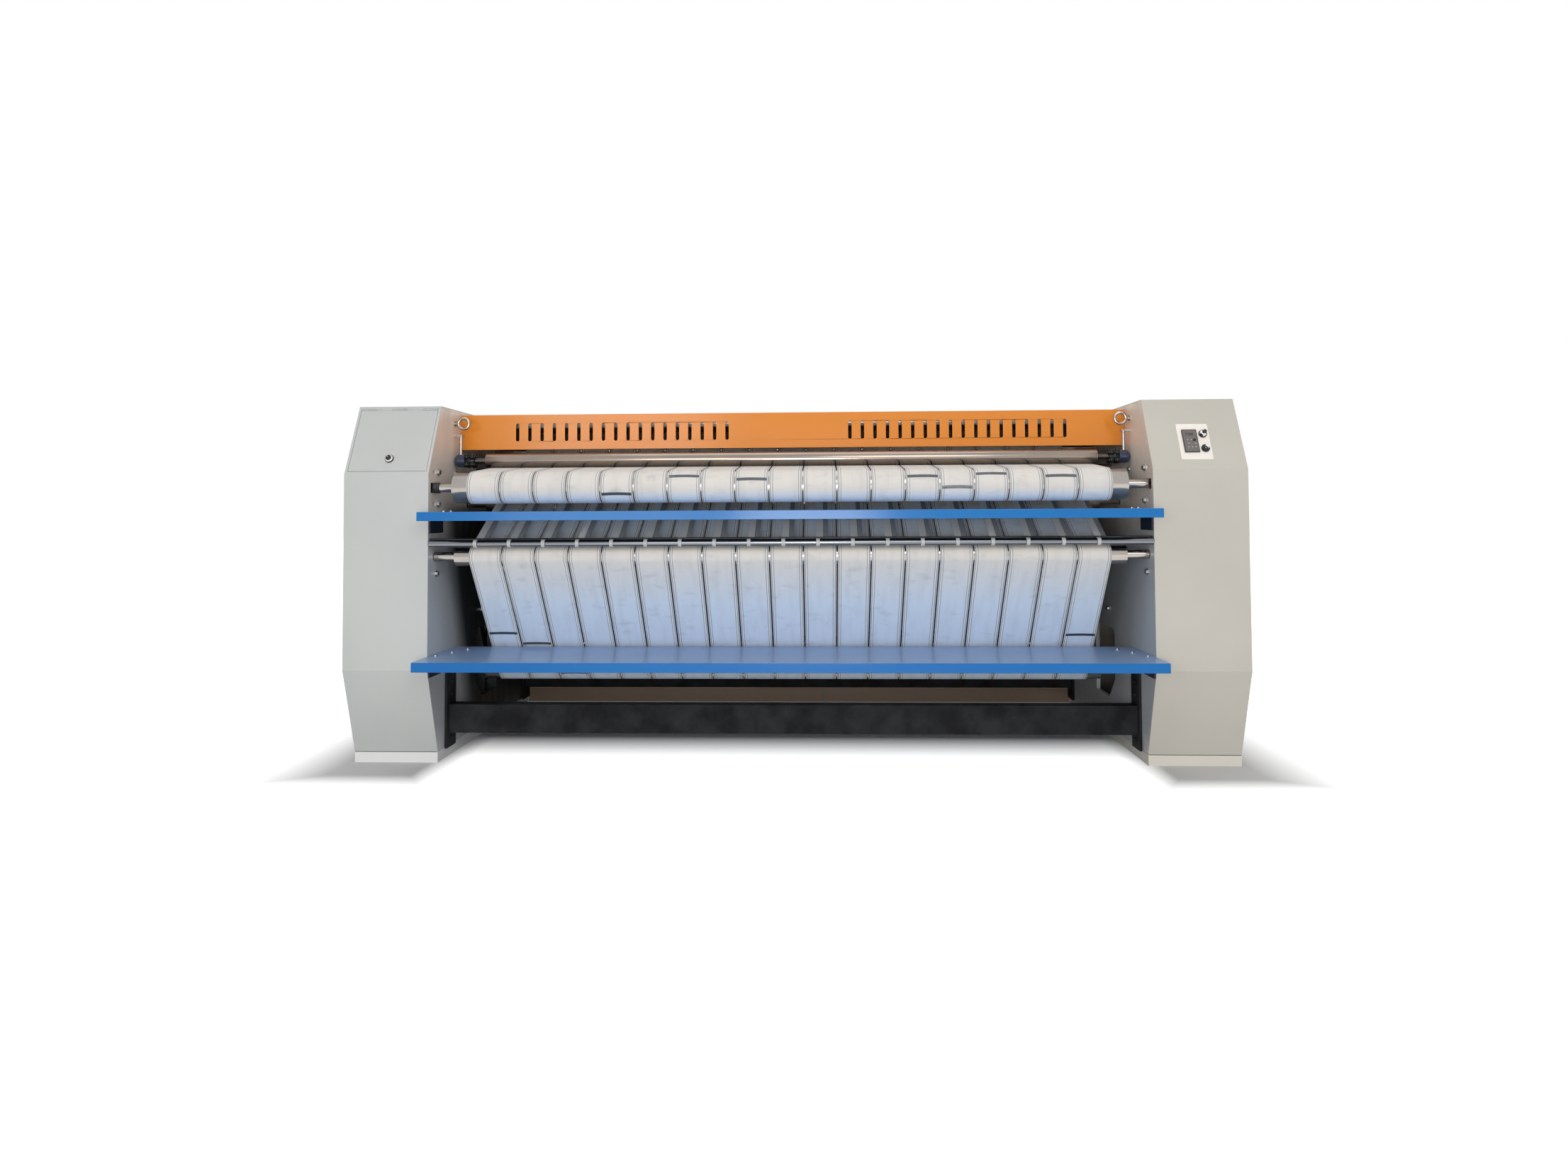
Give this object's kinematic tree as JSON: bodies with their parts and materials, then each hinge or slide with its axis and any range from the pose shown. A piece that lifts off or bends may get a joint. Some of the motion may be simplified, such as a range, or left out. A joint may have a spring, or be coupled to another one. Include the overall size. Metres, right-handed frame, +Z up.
{
  "type": "flatwork ironer",
  "caption": "Wide belt-fed flatwork ironer: a heated drum and canvas belts between two faceted cabinets, with feed and catch shelves and an orange nip guard.",
  "frame": {"origin": "on the floor at the middle of the footprint", "axes": "+X to the operator's right, +Y to the rear, +Z up"},
  "size_m": [3.4484, 1.47, 1.41],
  "materials": {
    "cabinet_left": "fine satin powder coat",
    "cabinet_right": "fine satin powder coat",
    "side_frame": "satin",
    "orange": "satin powder coat",
    "blue": "satin powder coat",
    "navy": "satin",
    "black": "semi-gloss",
    "steel": "polished",
    "brushed": "turned",
    "zinc": "zinc plated",
    "belt": "woven canvas",
    "ring": "moulded",
    "ivory": "satin",
    "keypad": "moulded",
    "key": "moulded",
    "display": "tinted",
    "knob": "moulded",
    "cast": "painted casting",
    "motor": "semi-gloss",
    "rubber": "matt"
  },
  "bodies": {
    "frame": {"left_side_frame": "side_frame", "right_side_frame": "side_frame", "left_cabinet": "cabinet_left", "right_cabinet": "cabinet_right", "flap_hinge": "zinc", "control_plate": "ivory", "keypad": "keypad", "display": "display", "skirtings": "side_frame", "feet": "rubber", "front_beam": "black", "rear_beam": "black", "beam_plates": "black", "guard": "orange", "guard_bar": "steel", "eye_bolts": "steel", "top_cover": "cabinet_left", "rear_cover": "cabinet_left", "drum_bearings": "cast", "pressure_flanges": "black", "pressure_caps": "navy", "pressure_rods": "steel", "roller_bearings": "cast", "feed_belts": "belt", "ironing_belts": "belt", "finger_rod": "steel", "fingers": "zinc", "finger_rings": "ring", "tie_rod": "zinc", "upper_shelf": "blue", "lower_shelf": "blue", "shelf_brackets": "navy", "shelf_screws": "zinc", "frame_bolts": "zinc", "drive_chain": "zinc", "gear_motor": "motor"},
    "drum": {"drum": "steel", "drum_sprocket": "cast"},
    "flap": {"left_flap": "cabinet_left"},
    "lock": {"flap_lock": "steel"},
    "drive_sprocket": {"drive_sprocket": "cast"},
    "keypad_dial": {"keypad_dial": "knob"},
    "knob_upper": {"knob_upper": "knob"},
    "knob_lower": {"knob_lower": "knob"},
    "feed_roller": {"feed_roller": "brushed"},
    "rear_feed_roller": {"rear_feed_roller": "brushed"},
    "pressure_roller": {"pressure_roller": "steel"},
    "lower_roller": {"lower_roller": "steel"},
    "nose_roller": {"nose_roller": "brushed"},
    "nip_roller": {"nip_roller": "brushed"},
    "bottom_roller": {"bottom_roller": "brushed"},
    "rear_low_roller": {"rear_low_roller": "brushed"},
    "rear_top_roller": {"rear_top_roller": "brushed"},
    "key_1": {"key_1": "key"},
    "key_2": {"key_2": "key"},
    "key_3": {"key_3": "key"},
    "key_4": {"key_4": "key"},
    "key_5": {"key_5": "key"},
    "key_6": {"key_6": "key"},
    "key_7": {"key_7": "key"}
  },
  "joints": [
    {"name": "drum_spin", "type": "hinge", "parent": "frame", "child": "drum", "pos_m": [0, 0.245, 0.83], "axis": [1, 0, 0], "continuous": true},
    {"name": "feed_roller_spin", "type": "hinge", "parent": "frame", "child": "feed_roller", "pos_m": [0, -0.527, 1.081], "axis": [1, 0, 0], "continuous": true},
    {"name": "rear_feed_roller_spin", "type": "hinge", "parent": "frame", "child": "rear_feed_roller", "pos_m": [0, -0.04563, 1.16434], "axis": [1, 0, 0], "continuous": true},
    {"name": "pressure_roller_spin", "type": "hinge", "parent": "frame", "child": "pressure_roller", "pos_m": [0, -0.30816, 1.19782], "axis": [1, 0, 0], "continuous": true},
    {"name": "lower_roller_spin", "type": "hinge", "parent": "frame", "child": "lower_roller", "pos_m": [0, -0.518, 0.812], "axis": [1, 0, 0], "continuous": true},
    {"name": "nose_roller_spin", "type": "hinge", "parent": "frame", "child": "nose_roller", "pos_m": [0, -0.15921, 1.01849], "axis": [1, 0, 0], "continuous": true},
    {"name": "nip_roller_spin", "type": "hinge", "parent": "frame", "child": "nip_roller", "pos_m": [0, 0.20683, 1.26633], "axis": [1, 0, 0], "continuous": true},
    {"name": "bottom_roller_spin", "type": "hinge", "parent": "frame", "child": "bottom_roller", "pos_m": [0, -0.15, 0.315], "axis": [1, 0, 0], "continuous": true},
    {"name": "rear_low_roller_spin", "type": "hinge", "parent": "frame", "child": "rear_low_roller", "pos_m": [0, 0.65, 0.315], "axis": [1, 0, 0], "continuous": true},
    {"name": "rear_top_roller_spin", "type": "hinge", "parent": "frame", "child": "rear_top_roller", "pos_m": [0, 0.65, 1.2], "axis": [1, 0, 0], "continuous": true},
    {"name": "drive_sprocket_spin", "type": "hinge", "parent": "frame", "child": "drive_sprocket", "pos_m": [0, 0.395, 0.38], "axis": [1, 0, 0], "continuous": true},
    {"name": "flap_hinge", "type": "hinge", "parent": "frame", "child": "flap", "pos_m": [-1.55825, -0.46557, 1.3977], "axis": [-1, 0, 0], "range_deg": [0, 95]},
    {"name": "lock_turn", "type": "hinge", "parent": "flap", "child": "lock", "pos_m": [-1.55825, -0.55736, 1.19503], "axis": [0, -0.9109, 0.4126], "range_deg": [-90, 0]},
    {"name": "knob_upper_turn", "type": "hinge", "parent": "frame", "child": "knob_upper", "pos_m": [1.58025, -0.52436, 1.26789], "axis": [0, -0.9109, 0.4126], "range_deg": [-135, 135]},
    {"name": "knob_lower_turn", "type": "hinge", "parent": "frame", "child": "knob_lower", "pos_m": [1.58025, -0.54994, 1.21142], "axis": [0, -0.9109, 0.4126], "range_deg": [-135, 135]},
    {"name": "keypad_dial_turn", "type": "hinge", "parent": "frame", "child": "keypad_dial", "pos_m": [1.54275, -0.53591, 1.24239], "axis": [0, -0.9109, 0.4126], "range_deg": [-135, 135]},
    {"name": "key_1_press", "type": "slide", "parent": "frame", "child": "key_1", "axis": [0, 0.9109, -0.4126], "range_m": [0, 0.0008], "stiffness_N_per_m": 300},
    {"name": "key_2_press", "type": "slide", "parent": "frame", "child": "key_2", "axis": [0, 0.9109, -0.4126], "range_m": [0, 0.0008], "stiffness_N_per_m": 300},
    {"name": "key_3_press", "type": "slide", "parent": "frame", "child": "key_3", "axis": [0, 0.9109, -0.4126], "range_m": [0, 0.0008], "stiffness_N_per_m": 300},
    {"name": "key_4_press", "type": "slide", "parent": "frame", "child": "key_4", "axis": [0, 0.9109, -0.4126], "range_m": [0, 0.0008], "stiffness_N_per_m": 300},
    {"name": "key_5_press", "type": "slide", "parent": "frame", "child": "key_5", "axis": [0, 0.9109, -0.4126], "range_m": [0, 0.0008], "stiffness_N_per_m": 300},
    {"name": "key_6_press", "type": "slide", "parent": "frame", "child": "key_6", "axis": [0, 0.9109, -0.4126], "range_m": [0, 0.0008], "stiffness_N_per_m": 300},
    {"name": "key_7_press", "type": "slide", "parent": "frame", "child": "key_7", "axis": [0, 0.9109, -0.4126], "range_m": [0, 0.0008], "stiffness_N_per_m": 300}
  ],
  "couplings": [
    {"joint": "feed_roller_spin", "follows": "drum_spin", "ratio": 6.6667},
    {"joint": "rear_feed_roller_spin", "follows": "drum_spin", "ratio": 13.333},
    {"joint": "pressure_roller_spin", "follows": "drum_spin", "ratio": -14.035},
    {"joint": "lower_roller_spin", "follows": "drum_spin", "ratio": -10.526},
    {"joint": "nose_roller_spin", "follows": "drum_spin", "ratio": -10.526},
    {"joint": "nip_roller_spin", "follows": "drum_spin", "ratio": -13.333},
    {"joint": "bottom_roller_spin", "follows": "drum_spin", "ratio": -10.526},
    {"joint": "rear_low_roller_spin", "follows": "drum_spin", "ratio": -10.526},
    {"joint": "rear_top_roller_spin", "follows": "drum_spin", "ratio": -10.526},
    {"joint": "drive_sprocket_spin", "follows": "drum_spin", "ratio": 2.7143}
  ]
}
